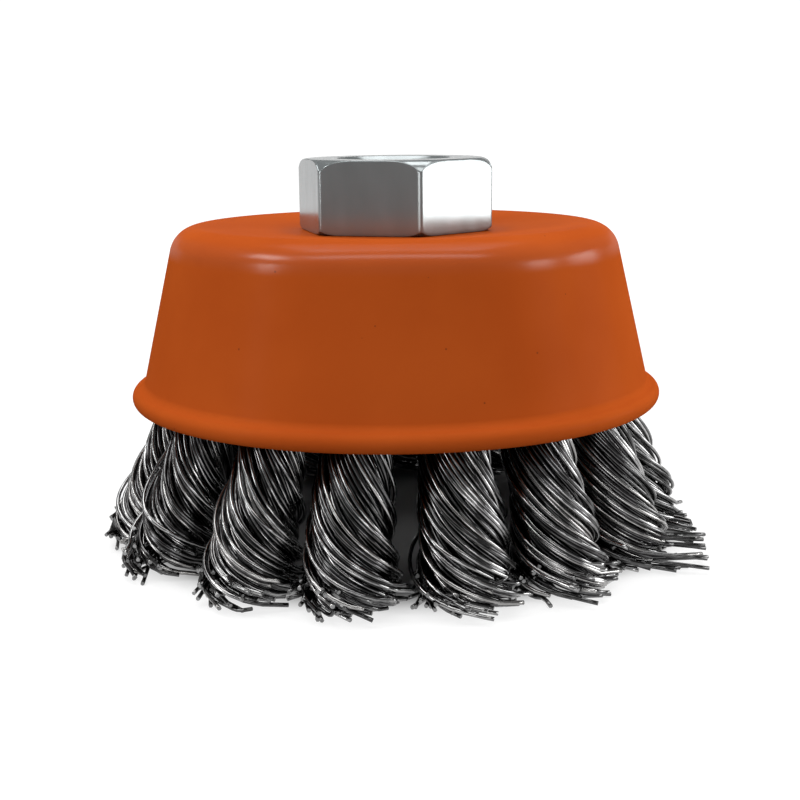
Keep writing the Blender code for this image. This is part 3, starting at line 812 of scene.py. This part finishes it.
def product(tree, first, second):
    """Two values multiplied; the second may be a number."""
    times = tree.nodes.new("ShaderNodeMath")
    times.operation = "MULTIPLY"
    tree.links.new(first, times.inputs[0])
    if isinstance(second, float):
        times.inputs[1].default_value = second
    else:
        tree.links.new(second, times.inputs[1])
    return times.outputs["Value"]


def seen_directly(tree):
    """One for the camera and for what shows in metal, zero for the light that falls."""
    path = tree.nodes.new("ShaderNodeLightPath")
    total = path.outputs["Is Camera Ray"]
    for kind in ("Is Glossy Ray", "Is Transmission Ray"):
        either = tree.nodes.new("ShaderNodeMath")
        either.operation = "MAXIMUM"
        tree.links.new(total, either.inputs[0])
        tree.links.new(path.outputs[kind], either.inputs[1])
        total = either.outputs["Value"]
    return total


def white_paper(name, level, far_level):
    """Matt paper that takes shadows and shows white.

    Where far_level isn't zero, its glow is taken away under the brush, so that it shows only its
    own lit grey there as painted shade, and more white far from it.
    """
    paper = bpy.data.materials.new(name)
    paper.use_nodes = True
    tree = paper.node_tree
    tree.nodes.clear()
    output = tree.nodes.new("ShaderNodeOutputMaterial")
    matt = tree.nodes.new("ShaderNodeBsdfDiffuse")
    matt.inputs["Color"].default_value = PAPER_GREY
    glow = tree.nodes.new("ShaderNodeEmission")
    glow.inputs["Color"].default_value = (1.0, 1.0, 1.0, 1.0)
    # Towards the brush the glow fades out, which leaves a darker patch of painted shade under
    # it.
    if far_level:
        place = tree.nodes.new("ShaderNodeTexCoord")
        reach = tree.nodes.new("ShaderNodeVectorMath")
        reach.operation = "DISTANCE"
        reach.inputs[1].default_value = PAINTED_SHADE_CENTRE
        tree.links.new(place.outputs["Object"], reach.inputs[0])
        far = product(tree, faded(tree, reach.outputs["Value"], *FAR_PAPER), far_level)
        rising = tree.nodes.new("ShaderNodeMath")
        rising.operation = "MULTIPLY_ADD"
        near = faded(tree, reach.outputs["Value"], *PAINTED_SHADE_EDGE)
        tree.links.new(near, rising.inputs[0])
        rising.inputs[1].default_value = level
        tree.links.new(far, rising.inputs[2])
        strength = product(tree, seen_directly(tree), rising.outputs["Value"])
    else:
        strength = product(tree, seen_directly(tree), level)
    tree.links.new(strength, glow.inputs["Strength"])
    both = tree.nodes.new("ShaderNodeAddShader")
    tree.links.new(matt.outputs["BSDF"], both.inputs[0])
    tree.links.new(glow.outputs["Emission"], both.inputs[1])
    tree.links.new(both.outputs["Shader"], output.inputs["Surface"])
    return paper


def paper_sheet(name, corners, paper):
    """A flat sheet of backdrop paper from its corners, in metres."""
    mesh = bpy.data.meshes.new(name)
    mesh.from_pydata(corners, [], [(0, 1, 2, 3)])
    mesh.materials.append(paper)
    sheet = bpy.data.objects.new(name, mesh)
    bpy.context.scene.collection.objects.link(sheet)


paper_sheet("table", [(-TABLE_HALF, TABLE_FRONT, 0.0), (TABLE_HALF, TABLE_FRONT, 0.0),
                      (TABLE_HALF, TABLE_HALF, 0.0), (-TABLE_HALF, TABLE_HALF, 0.0)],
            white_paper("table_paper", TABLE_GLOW, TABLE_FAR_GLOW))
paper_sheet("backdrop", [(-TABLE_HALF, TABLE_HALF, 0.0), (TABLE_HALF, TABLE_HALF, 0.0),
                         (TABLE_HALF, TABLE_HALF, BACKDROP_HEIGHT),
                         (-TABLE_HALF, TABLE_HALF, BACKDROP_HEIGHT)],
            white_paper("backdrop_paper", BACKDROP_GLOW, 0.0))

world = bpy.data.worlds.new("pale_room")
bpy.context.scene.world = world
world.use_nodes = True
background = world.node_tree.nodes["Background"]
background.inputs["Color"].default_value = (1.0, 1.0, 1.0, 1.0)
background.inputs["Strength"].default_value = ROOM_LEVEL


def soft_light(name, place, target, width, height, watts):
    """A rectangular soft light at a place in metres, turned to face a target."""
    lamp = bpy.data.lights.new(name, "AREA")
    lamp.shape = "RECTANGLE"
    lamp.size = width
    lamp.size_y = height
    lamp.energy = watts
    light = bpy.data.objects.new(name, lamp)
    bpy.context.scene.collection.objects.link(light)
    aim = np.array(target) - np.array(place)
    flat_distance = math.hypot(aim[0], aim[1])
    tilt = math.atan2(flat_distance, -aim[2])
    swing = math.atan2(aim[1], aim[0]) - math.pi / 2
    light.location = place
    light.rotation_euler = (tilt, 0.0, swing)


# Each light's place and the point it faces, its width and height, all in metres, and its watts.
soft_light("top_light", (0.0, 0.10, 0.48), (0.0, 0.0, 0.03), 0.45, 0.28, 1.8)
soft_light("left_light", (-0.42, -0.10, 0.40), (0.0, 0.0, 0.03), 0.16, 0.10, 0.6)
soft_light("right_light", (0.45, -0.12, 0.13), (0.0, 0.0, 0.03), 0.12, 0.12, 0.35)
soft_light("front_light", (0.0, -0.20, 0.43), (0.0, 0.0, 0.03), 0.60, 0.08, 0.70)
soft_light("fill_light", (0.0, -0.55, 0.05), (0.0, 0.0, 0.02), 0.30, 0.06, 0.45)
soft_light("low_left_light", (-0.42, -0.20, 0.12), (0.0, 0.0, 0.012), 0.08, 0.20, 0.45)
soft_light("low_right_light", (0.36, -0.02, 0.035), (0.0, 0.0, 0.03), 0.16, 0.07, 0.30)
soft_light("back_right_light", (0.40, 0.12, 0.09), (0.0, 0.0, 0.02), 0.16, 0.14, 0.45)

CAMERA_PLACE = (0.0005, -0.1797, 0.05425)
CAMERA_DOWN = 11.59
CAMERA_ROLL = -0.59
CAMERA_LENS = 63.5
CAMERA_SENSOR = 36.0

camera_data = bpy.data.cameras.new("camera")
camera_data.sensor_width = CAMERA_SENSOR
camera_data.lens = CAMERA_LENS
camera_data.clip_start = 0.01
camera = bpy.data.objects.new("camera", camera_data)
bpy.context.scene.collection.objects.link(camera)
camera.matrix_world = (Matrix.Translation(CAMERA_PLACE)
                       @ Matrix.Rotation(math.radians(90.0 - CAMERA_DOWN), 4, "X")
                       @ Matrix.Rotation(math.radians(CAMERA_ROLL), 4, "Z"))
bpy.context.scene.camera = camera
bpy.context.scene.view_settings.view_transform = "Standard"
